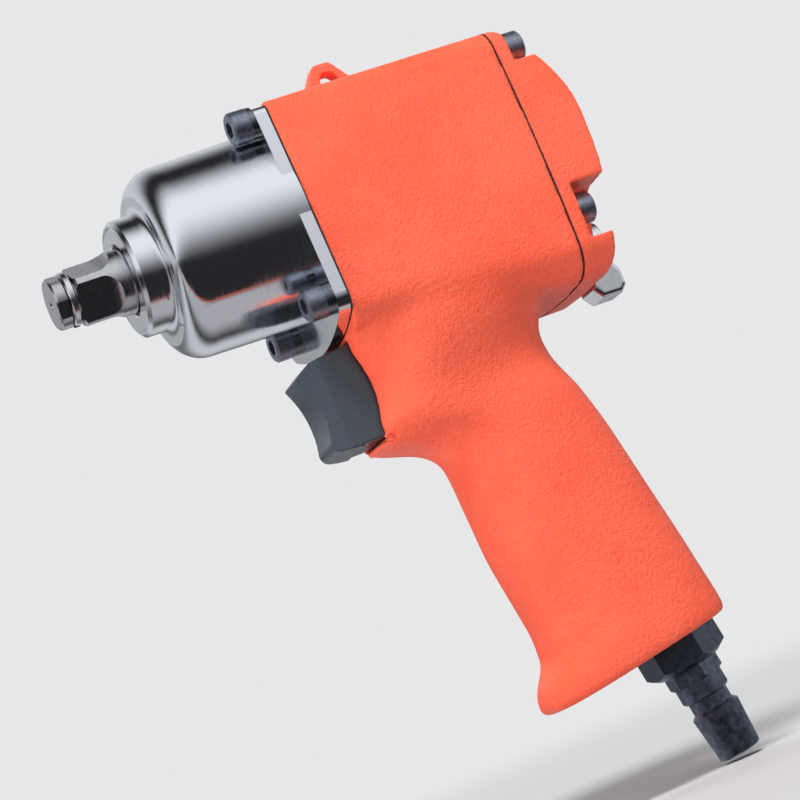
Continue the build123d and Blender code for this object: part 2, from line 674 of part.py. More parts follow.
# ---------------------------------------------------------------- hammer mechanism
with BuildPart() as hammer_frame:
    # Two discs joined by webs behind the pins.
    ring(REAR_DISC_X, REAR_HAMMER_X - HAMMER_GAP, PILOT_R + RUN_GAP, FRAME_R)
    ring(FRONT_DISC_X, FRONT_DISC_X + DISC_T, JAW_R + 0.5, FRAME_R)
    for turn in (90, -90):
        sector(
            REAR_DISC_X, FRONT_DISC_X + DISC_T, FRAME_R, WEB_HALF_ANGLE, turn,
            inner=HAMMER_R + 0.8,
        )
    # Closing wall with the hexagon hole that the rotor drives.
    ring(REAR_DISC_X - 0.4, REAR_DISC_X + 1.2, 1, PILOT_R + 2)
    hex_pocket(DRIVE_HEX_AF + 2 * SEAT_GAP, REAR_DISC_X + 2, 4, 0, 0)
    for z in (PIN_CIRCLE_R, -PIN_CIRCLE_R):
        rod(HAMMER_PIN_R + SEAT_GAP, REAR_DISC_X - 1, FRONT_DISC_X + 4, z=z, mode=Mode.SUBTRACT)

hammer_frame.part.label = "hammer_frame"
export_step(hammer_frame.part, "parts/hammer_frame.step")

with BuildPart() as hammer_pins:
    for z in (PIN_CIRCLE_R, -PIN_CIRCLE_R):
        rod(HAMMER_PIN_R, REAR_DISC_X + 0.2, FRONT_DISC_X + 2.8, z=z)

hammer_pins.part.label = "hammer_pins"
export_step(hammer_pins.part, "parts/hammer_pins.step")


def hammer_shape(x_low, x_high, pivot_z, tooth_turn):
    """A ring hammer: it rocks on one pin and has a wide notch for the other."""
    ring(x_low, x_high, HAMMER_BORE_R, HAMMER_R)
    sector(x_low, x_high, HAMMER_BORE_R + 1, TOOTH_HALF_ANGLE, tooth_turn, inner=TOOTH_R)
    rod(HAMMER_PIN_R + RUN_GAP, x_low - 1, x_high + 1, z=pivot_z, mode=Mode.SUBTRACT)
    down = -1 if pivot_z > 0 else 1
    with Locations(((x_low + x_high) / 2, 0, down * (NOTCH_START_R + 10))):
        Box(x_high - x_low + 2, 2 * NOTCH_HALF, 20, mode=Mode.SUBTRACT)


with BuildPart() as rear_hammer:
    hammer_shape(REAR_HAMMER_X, FRONT_HAMMER_X - HAMMER_GAP, PIN_CIRCLE_R, JAW_TURN - TOOTH_LAG)

rear_hammer.part.label = "rear_hammer"
export_step(rear_hammer.part, "parts/rear_hammer.step")

with BuildPart() as front_hammer:
    hammer_shape(
        FRONT_HAMMER_X, FRONT_DISC_X - HAMMER_GAP, -PIN_CIRCLE_R, JAW_TURN + 180 - TOOTH_LAG
    )

front_hammer.part.label = "front_hammer"
export_step(front_hammer.part, "parts/front_hammer.step")

# ---------------------------------------------------------------- air motor
with BuildPart() as front_end_plate:
    ring(LINER_FRONT_X, FRONT_PLATE_X, ROTOR_SHAFT_R + 0.5, LINER_R)
    rod(
        FRONT_BEARING_R + SEAT_GAP, FRONT_PLATE_X - FRONT_BEARING_W, FRONT_PLATE_X + 1,
        mode=Mode.SUBTRACT,
    )
    rod(
        DOWEL_R + SEAT_GAP, LINER_FRONT_X - 1, LINER_FRONT_X + DOWEL_DEPTH, *DOWEL_AT,
        Mode.SUBTRACT,
    )

front_end_plate.part.label = "front_end_plate"
export_step(front_end_plate.part, "parts/front_end_plate.step")

with BuildPart() as rear_end_plate:
    ring(SEAM_X, LINER_REAR_X, REAR_SHAFT_R + 0.5, LINER_R)
    rod(REAR_BEARING_R + SEAT_GAP, SEAM_X - 1, SEAM_X + REAR_BEARING_W, mode=Mode.SUBTRACT)
    rod(
        DOWEL_R + SEAT_GAP, LINER_REAR_X - DOWEL_DEPTH, LINER_REAR_X + 1, *DOWEL_AT,
        Mode.SUBTRACT,
    )

rear_end_plate.part.label = "rear_end_plate"
export_step(rear_end_plate.part, "parts/rear_end_plate.step")


def bearing_shape(x_low, x_high, inner, outer):
    """A shielded ball bearing: a ring with a shallow step in each face."""
    ring(x_low, x_high, inner, outer)
    for x_from, x_to in ((x_low - 1, x_low + SHIELD_STEP), (x_high - SHIELD_STEP, x_high + 1)):
        ring(x_from, x_to, inner + SHIELD_IN, outer - SHIELD_IN, mode=Mode.SUBTRACT)


with BuildPart() as front_bearing:
    bearing_shape(
        FRONT_PLATE_X - FRONT_BEARING_W, FRONT_PLATE_X, ROTOR_SHAFT_R + RUN_GAP, FRONT_BEARING_R
    )

front_bearing.part.label = "front_bearing"
export_step(front_bearing.part, "parts/front_bearing.step")

with BuildPart() as rear_bearing:
    bearing_shape(SEAM_X, SEAM_X + REAR_BEARING_W, REAR_SHAFT_R + RUN_GAP, REAR_BEARING_R)

rear_bearing.part.label = "rear_bearing"
export_step(rear_bearing.part, "parts/rear_bearing.step")

with BuildPart() as cylinder_liner:
    rod(LINER_R, LINER_REAR_X, LINER_FRONT_X)
    rod(LINER_BORE_R, LINER_REAR_X - 1, LINER_FRONT_X + 1, z=LINER_OFFSET, mode=Mode.SUBTRACT)
    rod(DOWEL_R + SEAT_GAP, LINER_REAR_X - 1, LINER_FRONT_X + 1, *DOWEL_AT, Mode.SUBTRACT)
    # Exhaust ports over the ducts and the feed port over the reversing valve.
    for side in (-1, 1):
        with Locations((EXHAUST_DUCT_X, side * EXHAUST_DUCT_Y, PORT_Z)):
            Cylinder(DUCT_R, PORT_REACH, align=UNDER_TOP, mode=Mode.SUBTRACT)
    with Locations((VALVE_PORT_X, 0, PORT_Z)):
        Cylinder(VALVE_PORT_R, PORT_REACH, align=UNDER_TOP, mode=Mode.SUBTRACT)

cylinder_liner.part.label = "cylinder_liner"
export_step(cylinder_liner.part, "parts/cylinder_liner.step")

with BuildPart() as cylinder_dowel:
    # It stops just short of the bottom of its hole in each end plate.
    reach = DOWEL_DEPTH - 0.2
    rod(DOWEL_R, LINER_REAR_X - reach, LINER_FRONT_X + reach, *DOWEL_AT)

cylinder_dowel.part.label = "cylinder_dowel"
export_step(cylinder_dowel.part, "parts/cylinder_dowel.step")

with BuildPart() as rotor:
    rod(ROTOR_R, LINER_REAR_X + 0.15, LINER_FRONT_X - 0.15)
    rod(ROTOR_SHAFT_R, LINER_FRONT_X - 1, FRONT_PLATE_X)
    rod(REAR_SHAFT_R, SEAM_X + 0.4, LINER_REAR_X + 1)
    with BuildSketch(Plane.YZ.offset(FRONT_PLATE_X - 1)) as drive_hex:
        RegularPolygon(DRIVE_HEX_AF / 2, 6, major_radius=False)
    extrude(amount=REAR_DISC_X + 1.0 - (FRONT_PLATE_X - 1))
    for vane in range(VANES):
        with BuildSketch(Plane.YZ.offset(SEAM_X), mode=Mode.PRIVATE) as slot:
            with Locations((SLOT_ROOT_R + 10, 0)):
                Rectangle(20, VANE_T + VANE_GAP)
        slot_sketch = slot.sketch.rotate(Axis.X, 360 * vane / VANES)
        extrude(slot_sketch, amount=FRONT_PLATE_X - SEAM_X - PLATE_T, mode=Mode.SUBTRACT)

rotor.part.label = "rotor"
export_step(rotor.part, "parts/rotor.step")

with BuildPart() as rotor_vanes:
    # Laminate blades, lying in their slots as they do when the motor is still.
    for vane in range(VANES):
        with BuildSketch(Plane.YZ.offset(LINER_REAR_X + 0.2), mode=Mode.PRIVATE) as blade:
            with Locations(((SLOT_ROOT_R + 0.15 + ROTOR_R) / 2, 0)):
                Rectangle(ROTOR_R - SLOT_ROOT_R - 0.15, VANE_T)
        blade_sketch = blade.sketch.rotate(Axis.X, 360 * vane / VANES)
        extrude(blade_sketch, amount=LINER_FRONT_X - LINER_REAR_X - 0.4)

rotor_vanes.part.label = "rotor_vanes"
export_step(rotor_vanes.part, "parts/rotor_vanes.step")

# ---------------------------------------------------------------- screws and washers
with BuildPart() as front_bolts:
    for y, z in FRONT_BOLTS:
        socket_screw(FLANGE_FRONT_X + WASHER_T, 1, y, z, SCREW_LENGTH)

front_bolts.part.label = "front_bolts"
export_step(front_bolts.part, "parts/front_bolts.step")

with BuildPart() as front_spring_washers:
    for y, z in FRONT_BOLTS:
        spring_washer(FLANGE_FRONT_X, y, z)

front_spring_washers.part.label = "front_spring_washers"
export_step(front_spring_washers.part, "parts/front_spring_washers.step")

with BuildPart() as rear_bolts:
    for y, z in REAR_BOLTS:
        socket_screw(NOTCH_FLOOR_X - WASHER_T, -1, y, z, SCREW_LENGTH)

rear_bolts.part.label = "rear_bolts"
export_step(rear_bolts.part, "parts/rear_bolts.step")

with BuildPart() as rear_spring_washers:
    for y, z in REAR_BOLTS:
        spring_washer(NOTCH_FLOOR_X - WASHER_T, y, z)

rear_spring_washers.part.label = "rear_spring_washers"
export_step(rear_spring_washers.part, "parts/rear_spring_washers.step")

# ---------------------------------------------------------------- trigger and throttle
with BuildPart() as trigger:
    # Side profile with a hollow front, cut to a narrower finger face in plan.
    with BuildSketch(Plane.XZ) as trigger_side:
        with BuildLine():
            Polyline(
                (TRIGGER_REAR_X, TRIGGER_LOW_Z), (TRIGGER_REAR_X, TRIGGER_HIGH_Z),
                (FACE_X - 1.0, TRIGGER_HIGH_Z), (FACE_X + 11.0, -36.8), (TRIGGER_TIP_X, -39.6),
            )
            finger = ThreePointArc(
                (TRIGGER_TIP_X, -39.6), (FACE_X + 12.3, -51.0), (FACE_X + 14.2, TRIGGER_TOE_Z)
            )
            Polyline(finger @ 1, (FACE_X + 2.0, TRIGGER_LOW_Z), (TRIGGER_REAR_X, TRIGGER_LOW_Z))
        make_face()
        fillet(trigger_side.vertices().group_by(Axis.X)[-1], 0.5)
        fillet(trigger_side.vertices().filter_by(lambda v: v.X > FACE_X + 13 and v.Y < -59), 2.4)
    extrude(amount=TRIGGER_HALF, both=True)
    with BuildSketch(Plane.XY.offset(-80)) as plan:
        with BuildLine():
            Polyline(
                (TRIGGER_REAR_X, -TRIGGER_HALF), (BEVEL_X, -TRIGGER_HALF),
                (TRIGGER_TIP_X + 2, -FINGER_HALF), (TRIGGER_TIP_X + 2, FINGER_HALF),
                (BEVEL_X, TRIGGER_HALF),
                (TRIGGER_REAR_X, TRIGGER_HALF), close=True,
            )
        make_face()
    extrude(amount=60, mode=Mode.INTERSECT)
    # Hole for the stem and the notch that stops on the trigger pin.
    rod(STEM_R + SEAT_GAP, TRIGGER_REAR_X - 1, TRIGGER_REAR_X + 5, z=TRIGGER_Z, mode=Mode.SUBTRACT)
    with Locations((FACE_X + PIN_DX - PIN_R - 0.2, 0, -70)):
        Box(
            TRIGGER_TRAVEL + 2 * PIN_R + 0.4, 30, 70 + PIN_Z + PIN_R + 0.2,
            align=(Align.MIN, Align.CENTER, Align.MIN), mode=Mode.SUBTRACT,
        )

trigger.part.label = "trigger"
export_step(trigger.part, "parts/trigger.step")

with BuildPart() as trigger_stem:
    rod(STEM_R, VALVE_FACE_X + 0.1, TRIGGER_REAR_X + 4.5, z=TRIGGER_Z)

trigger_stem.part.label = "trigger_stem"
export_step(trigger_stem.part, "parts/trigger_stem.step")

with BuildPart() as trigger_pin:
    with Locations((FACE_X + PIN_DX, 0, PIN_Z)):
        Cylinder(PIN_R, 2 * PIN_HALF, rotation=(90, 0, 0))

trigger_pin.part.label = "trigger_pin"
export_step(trigger_pin.part, "parts/trigger_pin.step")

with BuildPart() as stem_guide:
    guide_x = SLOT_BACK_X - GUIDE_W
    rod(THROTTLE_R - SEAT_GAP, guide_x, SLOT_BACK_X, z=TRIGGER_Z)
    rod(STEM_R + RUN_GAP, guide_x - 1, SLOT_BACK_X + 1, z=TRIGGER_Z, mode=Mode.SUBTRACT)

stem_guide.part.label = "stem_guide"
export_step(stem_guide.part, "parts/stem_guide.step")

with BuildPart() as throttle_seat:
    seat_x = VALVE_FACE_X + SEAT_W
    rod(THROTTLE_R - SEAT_GAP, VALVE_FACE_X, seat_x, z=TRIGGER_Z)
    rod(SEAT_BORE_R, VALVE_FACE_X - 1, seat_x + 1, z=TRIGGER_Z, mode=Mode.SUBTRACT)

throttle_seat.part.label = "throttle_seat"
export_step(throttle_seat.part, "parts/throttle_seat.step")

with BuildPart() as throttle_valve:
    # A disc that closes on the seat, with a stub that centres the spring.
    poppet_x = VALVE_FACE_X - 0.1 - POPPET_W
    rod(POPPET_R, poppet_x, VALVE_FACE_X - 0.1, z=TRIGGER_Z)
    rod(POPPET_STEM_R, poppet_x - POPPET_STEM_W, poppet_x, z=TRIGGER_Z)

throttle_valve.part.label = "throttle_valve"
export_step(throttle_valve.part, "parts/throttle_valve.step")

with BuildPart() as throttle_spring:
    spring_x = THROTTLE_END_X + 0.5
    with BuildLine() as coil:
        Helix(
            SPRING_PITCH, VALVE_FACE_X - 3.5 - spring_x, SPRING_R,
            center=(spring_x, 0, TRIGGER_Z), direction=(1, 0, 0),
        )
    with BuildSketch(Plane(origin=coil.line @ 0, z_dir=coil.line % 0)):
        Circle(SPRING_WIRE_R)
    sweep(is_frenet=True)

throttle_spring.part.label = "throttle_spring"
export_step(throttle_spring.part, "parts/throttle_spring.step")

# ---------------------------------------------------------------- reversing valve
with BuildPart() as reverse_valve:
    # A ported spool with a stem that passes through the rear cover.
    rod(VALVE_R, SEAM_X, VALVE_FRONT_X - 0.3, z=VALVE_Z)
    rod(VALVE_STEM_R, LEVER_REAR_X + 0.5, SEAM_X, z=VALVE_Z)
    rod(VALVE_BORE_R, SEAM_X + 6, VALVE_FRONT_X, z=VALVE_Z, mode=Mode.SUBTRACT)
    with Locations((VALVE_PORT_X, 0, VALVE_Z)):
        Cylinder(VALVE_PORT_R, PORT_REACH, align=ON_BASE, mode=Mode.SUBTRACT)
    rod(LEVER_SCREW_R + SEAT_GAP, LEVER_REAR_X - 1, LEVER_REAR_X + 7, z=VALVE_Z, mode=Mode.SUBTRACT)

reverse_valve.part.label = "reverse_valve"
export_step(reverse_valve.part, "parts/reverse_valve.step")

with BuildPart() as reverse_lever:
    # A hub on the valve's stem, an arm and a thumb pad below the cover.
    rod(LEVER_HUB_R, LEVER_REAR_X, RECESS_X - 0.4, z=VALVE_Z)
    with BuildSketch(Plane.XZ) as pad_side:
        with BuildLine():
            Polyline(
                (RECESS_X - 0.8, -37.0), (RECESS_X - 0.8, -43.6), (RECESS_X - 2.8, -46.4),
                (RECESS_X - 8.6, -46.6), (RECESS_X - 10.4, -44.8), (RECESS_X - 10.4, -40.5),
                (RECESS_X - 8.8, -37.0), close=True,
            )
        make_face()
    extrude(amount=PAD_HALF, both=True)
    fillet(reverse_lever.faces().sort_by(Axis.Y)[0].edges(), PAD_EDGE_R)
    fillet(reverse_lever.faces().sort_by(Axis.Y)[-1].edges(), PAD_EDGE_R)
    with Locations((LEVER_REAR_X, 0, VALVE_Z)):
        Box(
            RECESS_X - 0.4 - LEVER_REAR_X, ARM_W, ARM_H,
            align=(Align.MIN, Align.CENTER, Align.MAX),
        )
    rod(VALVE_STEM_R + SEAT_GAP, LEVER_REAR_X + 0.5, REAR_X + 30, z=VALVE_Z, mode=Mode.SUBTRACT)
    rod(LEVER_SCREW_R + SEAT_GAP, LEVER_REAR_X - 1, REAR_X + 30, z=VALVE_Z, mode=Mode.SUBTRACT)

reverse_lever.part.label = "reverse_lever"
export_step(reverse_lever.part, "parts/reverse_lever.step")

with BuildPart() as lever_screw:
    rod(LEVER_SCREW_R, LEVER_REAR_X, LEVER_REAR_X + 6.5, z=VALVE_Z)
    head_x = LEVER_REAR_X - LEVER_SCREW_HEAD_H
    rod(LEVER_SCREW_HEAD_R, head_x, LEVER_REAR_X, z=VALVE_Z)
    hex_pocket(LEVER_SCREW_HEX, head_x + 1.4, 1.4, 0, VALVE_Z)

lever_screw.part.label = "lever_screw"
export_step(lever_screw.part, "parts/lever_screw.step")

# ---------------------------------------------------------------- inlet and exhaust
with BuildPart() as inlet_bushing:
    # Hexagon below the grip, with a threaded spigot up into it.
    with BuildSketch(grip_plane(-HEX_H)) as hexagon:
        RegularPolygon(INLET_AF / 2, 6, major_radius=False, rotation=INLET_TWIST)
    extrude(amount=HEX_H)
    with BuildSketch(grip_plane(-HEX_H)) as end_circle:
        Circle(HEX_END_R)
    extrude(amount=HEX_H + 1, taper=-HEX_TAPER, mode=Mode.INTERSECT)
    grip_rod(INLET_THREAD_R - SEAT_GAP, 0, INLET_THREAD_H - 1)
    grip_rod(BUSHING_BORE_R, -HEX_H - 1, INLET_THREAD_H, Mode.SUBTRACT)
    grip_rod(PLUG_THREAD_R, -HEX_H - 1, PLUG_THREAD_H - HEX_H + 0.5, Mode.SUBTRACT)

inlet_bushing.part.label = "inlet_bushing"
export_step(inlet_bushing.part, "parts/inlet_bushing.step")

with BuildPart() as inlet_screen:
    # A domed gauze cap over the bushing's inner end.
    grip_rod(INLET_BORE_R - 0.2, INLET_THREAD_H + 0.2, INLET_THREAD_H + 5)
    grip_rod(INLET_BORE_R - 1.0, INLET_THREAD_H - 1, INLET_THREAD_H + 4.2, Mode.SUBTRACT)

inlet_screen.part.label = "inlet_screen"
export_step(inlet_screen.part, "parts/inlet_screen.step")

with BuildPart() as air_plug:
    # Quick-coupler plug: thread, collar, lock groove and a tapered nose, then the hexagon.
    upright = Plane(grip_plane(0).origin, x_dir=grip_plane(0).x_dir, z_dir=(0, -1, 0))
    with BuildSketch(upright) as plug_profile:
        with BuildLine():
            Polyline(
                (0, PLUG_THREAD_H - HEX_H), (PLUG_THREAD_R - SEAT_GAP, PLUG_THREAD_H - HEX_H),
                (PLUG_THREAD_R - SEAT_GAP, -HEX_H), (COLLAR_R, -HEX_H), (COLLAR_R, -16.1),
                (COLLAR_R - 0.5, -16.6), (LOCK_GROOVE_R, -16.9), (LOCK_GROOVE_R, -19.9),
                (COLLAR_R, -20.9), (PLUG_NOSE_R + 0.3, PLUG_END + 0.4),
                (PLUG_NOSE_R, PLUG_END), (0, PLUG_END), close=True,
            )
        make_face()
    revolve(axis=Axis(grip_plane(0).origin, grip_plane(0).z_dir))
    with BuildPart(mode=Mode.PRIVATE) as plug_hexagon:
        with BuildSketch(grip_plane(PLUG_HEX_END)):
            RegularPolygon(PLUG_AF / 2, 6, major_radius=False, rotation=PLUG_TWIST)
        extrude(amount=-HEX_H - PLUG_HEX_END)
        with BuildSketch(grip_plane(PLUG_HEX_END)):
            Circle(COLLAR_R)
        extrude(amount=5, taper=-HEX_TAPER, mode=Mode.INTERSECT)
    add(plug_hexagon.part)
    grip_rod(PLUG_BORE_R, PLUG_END - 1, 5, Mode.SUBTRACT)

air_plug.part.label = "air_plug"
export_step(air_plug.part, "parts/air_plug.step")

with BuildPart() as exhaust_muffler:
    # Sintered disc that quietens the exhaust.
    grip_rod(MUFFLER_R - SEAT_GAP, 1.0, MUFFLER_TOP, forward=EXHAUST_FORWARD)

exhaust_muffler.part.label = "exhaust_muffler"
export_step(exhaust_muffler.part, "parts/exhaust_muffler.step")
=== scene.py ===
"""Studio scene of the pneumatic impact wrench: materials, finished meshes, lights and camera.

Everything is in metres, in the CAD model's frame: +X out of the square drive, +Z up.
"""
import math

import bmesh
import bpy
import numpy as np
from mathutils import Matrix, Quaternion, Vector


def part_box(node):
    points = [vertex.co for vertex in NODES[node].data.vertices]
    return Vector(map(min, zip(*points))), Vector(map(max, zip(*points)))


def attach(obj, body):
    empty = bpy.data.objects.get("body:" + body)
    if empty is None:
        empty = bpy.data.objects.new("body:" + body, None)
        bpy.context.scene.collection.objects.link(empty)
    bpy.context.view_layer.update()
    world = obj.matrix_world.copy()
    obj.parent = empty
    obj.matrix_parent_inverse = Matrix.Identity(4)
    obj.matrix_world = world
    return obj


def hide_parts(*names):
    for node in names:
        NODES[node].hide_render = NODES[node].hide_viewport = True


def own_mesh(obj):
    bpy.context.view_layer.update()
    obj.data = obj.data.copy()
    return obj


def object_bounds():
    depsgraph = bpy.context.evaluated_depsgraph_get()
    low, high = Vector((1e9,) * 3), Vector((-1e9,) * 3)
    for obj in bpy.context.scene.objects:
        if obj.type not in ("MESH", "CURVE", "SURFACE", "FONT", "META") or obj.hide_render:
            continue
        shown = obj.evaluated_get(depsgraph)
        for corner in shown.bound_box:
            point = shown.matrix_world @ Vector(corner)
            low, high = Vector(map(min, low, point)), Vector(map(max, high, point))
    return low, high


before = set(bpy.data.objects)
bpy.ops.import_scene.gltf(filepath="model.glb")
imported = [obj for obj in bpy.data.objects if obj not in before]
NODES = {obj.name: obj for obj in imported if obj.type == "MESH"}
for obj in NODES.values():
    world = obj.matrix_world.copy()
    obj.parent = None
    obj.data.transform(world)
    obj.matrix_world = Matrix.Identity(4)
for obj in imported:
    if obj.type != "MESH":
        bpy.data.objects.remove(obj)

MM = 0.001
cad_box = [list(corner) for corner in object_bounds()]


# ---------------------------------------------------------------- where things are
FACE_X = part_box("front_gasket")[0].x  # front face of the motor housing
SEAM_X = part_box("rear_gasket")[1].x   # rear face of the motor housing
LOWEST_Z = cad_box[0][2]              # the tip of the air plug


# ---------------------------------------------------------------- camera
# The photographer stood a little below the drive axis, off the tool's left side.
VIEW_AZIMUTH = math.radians(160.36)
VIEW_ELEVATION = math.radians(-7.49)
VIEW_ROLL = math.radians(-23.03)
VIEW_DISTANCE = 0.5751
VIEW_TARGET = Vector((-0.07473, 0.0, -0.05247))
LENS_MM = 101.12
SENSOR_MM = 36.0
CLIP_START, CLIP_END = 0.01, 50


def add_camera():
    """The photograph's camera: VIEW_ROLL turns it about its own line of sight."""
    data = bpy.data.cameras.new("camera")
    data.lens, data.sensor_width = LENS_MM, SENSOR_MM
    data.clip_start, data.clip_end = CLIP_START, CLIP_END
    camera = bpy.data.objects.new("camera", data)
    back = Vector((
        math.sin(VIEW_AZIMUTH) * math.cos(VIEW_ELEVATION),
        -math.cos(VIEW_AZIMUTH) * math.cos(VIEW_ELEVATION),
        math.sin(VIEW_ELEVATION),
    ))
    camera.location = VIEW_TARGET + back * VIEW_DISTANCE
    camera.rotation_mode = "QUATERNION"
    upright = (-back).to_track_quat("-Z", "Y")
    camera.rotation_quaternion = upright @ Quaternion((0, 0, 1), VIEW_ROLL)
    bpy.context.scene.collection.objects.link(camera)
    bpy.context.scene.camera = camera


# ---------------------------------------------------------------- finished meshes
# The castings and mouldings are remeshed from their CAD solids, and their edges are
# rubbed round as a sand casting's or a moulding's are.
MOST_TRIANGLES = 190_000             # a denser mesh is thinned to this

# Heights between which the body flows into the grip, from the top down
GRIP_BLEND_TOP = -14 * MM
GRIP_BLEND_FULL = -24 * MM
GRIP_BLEND_LOW = -46 * MM
GRIP_BLEND_END = -60 * MM
GRIP_ROUNDS = 110
SIDE_FROM, SIDE_FULL = 12 * MM, 17 * MM    # only the outer sides flow, not the passages inside

# The faces where pieces bolt on
CRISP_TO = 0.9 * MM
CRISP_FROM = 0.2 * CRISP_TO          # only the guard's rim moves nearer to them than this
MACHINED_EDGE = 3.0 * MM             # the flow into the grip starts this far in
END_FADE = 18 * MM                   # and reaches its full amount this far in

# The slot that the trigger slides in, and the guard whose rim stands beside it
SLOT_TOP = -33 * MM
SLOT_TOP_FADE = 4 * MM
SLOT_BACK = 17 * MM                  # how far the slot reaches back from the face
SLOT_BACK_FADE = 6 * MM
GUARD_DEPTH = 11 * MM                # how far the rim reaches back from the face
GUARD_FADE = 3 * MM
GUARD_LOW = -60 * MM                 # the rim is left alone below this, beside the trigger pin
GUARD_LOW_FADE = 4 * MM
GUARD_SIDE_FROM, GUARD_SIDE_FULL = 0.5 * SIDE_FROM, 0.7 * SIDE_FROM
GUARD_ROUNDS = 9

# One round of smoothing that doesn't shrink a shape is a pull in and then a push out.
PULL_IN, PUSH_OUT = 0.6, -0.62


def smooth_step(values, low, high):
    """0 below low, 1 above high, and an even curve between them."""
    t = np.clip((values - low) / (high - low), 0, 1)
    return t * t * (3 - 2 * t)


def grip_blend(points):
    """How much each point may move: 1 where the body flows into the grip, 0 away from there."""
    x, y, z = points.T
    height = smooth_step(-z, -GRIP_BLEND_TOP, -GRIP_BLEND_FULL)
    height = height * (1 - smooth_step(-z, -GRIP_BLEND_LOW, -GRIP_BLEND_END))
    side = smooth_step(np.abs(y), SIDE_FROM, SIDE_FULL)
    ends = smooth_step(FACE_X - x, MACHINED_EDGE, END_FADE)
    ends = ends * smooth_step(x - SEAM_X, MACHINED_EDGE, END_FADE)
    beside_slot = 1 - smooth_step(FACE_X - x, SLOT_BACK, SLOT_BACK + SLOT_BACK_FADE)
    clear_of_slot = 1 - smooth_step(SLOT_TOP - z, 0, SLOT_TOP_FADE) * beside_slot
    return height * side * ends * clear_of_slot


def guard_blend(points):
    """How much each point may move: 1 on the guard's rim, which is rubbed rounder, and 0 off it."""
    x, y, z = points.T
    front = smooth_step(x - FACE_X, -GUARD_DEPTH, -GUARD_DEPTH + GUARD_FADE)
    below_top = smooth_step(SLOT_TOP - z, 0, GUARD_FADE)
    above_pin = 1 - smooth_step(-z, -GUARD_LOW - GUARD_LOW_FADE, -GUARD_LOW)
    side = smooth_step(np.abs(y), GUARD_SIDE_FROM, GUARD_SIDE_FULL)
    return front * below_top * above_pin * side


def crisp_ends(points):
    """0 on the faces where pieces bolt on, and 1 a little way in from them."""
    x = points[:, 0]
    near = np.minimum(np.abs(x - FACE_X), np.abs(x - SEAM_X))
    return smooth_step(near, CRISP_FROM, CRISP_TO)


def relax(points, edges, weight, rounds, pull=0.5):
    """Moves each point towards the mean of its neighbours, by its weight times pull, rounds
    times. A negative pull moves it away."""
    count = len(points)
    ends = np.concatenate([edges[:, 0], edges[:, 1]])
    others = np.concatenate([edges[:, 1], edges[:, 0]])
    degree = np.maximum(np.bincount(ends, minlength=count), 1)
    step = (pull * weight)[:, None]
    for _ in range(rounds):
        mean = np.stack([
            np.bincount(ends, weights=points[others, axis], minlength=count) / degree
            for axis in range(3)
        ], axis=1)
        points = points + step * (mean - points)
    return points


def modified_mesh(piece):
    """The piece's mesh as its modifiers make it. The modifiers are then taken off."""
    bpy.context.view_layer.update()
    graph = bpy.context.evaluated_depsgraph_get()
    mesh = bpy.data.meshes.new_from_object(piece.evaluated_get(graph))
    piece.modifiers.clear()
    return mesh


def thin(piece):
    """Brings the piece's mesh down to MOST_TRIANGLES where it has more."""
    triangles = sum(len(face.vertices) - 2 for face in piece.data.polygons)
    if triangles > MOST_TRIANGLES:
        piece.modifiers.new("thin", "DECIMATE").ratio = MOST_TRIANGLES / triangles
        piece.data = modified_mesh(piece)
        piece.data.shade_smooth()


def smoothed(points, edges, rounds, blends):
    """The points after rounds that keep a shape's size, one plain round, and the blends."""
    free = crisp_ends(points)
    for _ in range(rounds):
        points = relax(points, edges, free, 1, PULL_IN)
        points = relax(points, edges, free, 1, PUSH_OUT)
    points = relax(points, edges, free, 1)
    for blend, blend_rounds in blends:
        points = relax(points, edges, blend(points), blend_rounds)
    return points


def skin(node, body, voxel, rounds, blends=()):
    """A smooth closed mesh that stands for a CAD node, inside that node's box.

    blends holds pairs of a weight function and how many rounds of smoothing it gets.
    """
    piece = bpy.data.objects.new(node + "_skin", NODES[node].data.copy())
    bpy.context.scene.collection.objects.link(piece)
    remesh = piece.modifiers.new("remesh", "REMESH")
    remesh.mode, remesh.voxel_size = "VOXEL", voxel
    mesh = modified_mesh(piece)
    points = np.empty(len(mesh.vertices) * 3)
    mesh.vertices.foreach_get("co", points)
    edges = np.empty(len(mesh.edges) * 2, int)
    mesh.edges.foreach_get("vertices", edges)
    points = smoothed(points.reshape(-1, 3), edges.reshape(-1, 2), rounds, blends)
    low, high = (np.array(corner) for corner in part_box(node))
    mesh.vertices.foreach_set("co", np.clip(points, low, high).ravel())
    mesh.shade_smooth()
    mesh.update()
    piece.data = mesh
    thin(piece)
    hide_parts(node)
    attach(piece, body)


def add_spring():
    """The throttle spring, copied unchanged into a mesh of its own on the housing; the real spring
    shortens as the valve leaves its seat.
    """
    spring = bpy.data.objects.new("throttle_spring_coil", NODES["throttle_spring"].data.copy())
    bpy.context.scene.collection.objects.link(spring)
    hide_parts("throttle_spring")
    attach(spring, "housing")
    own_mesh(spring)


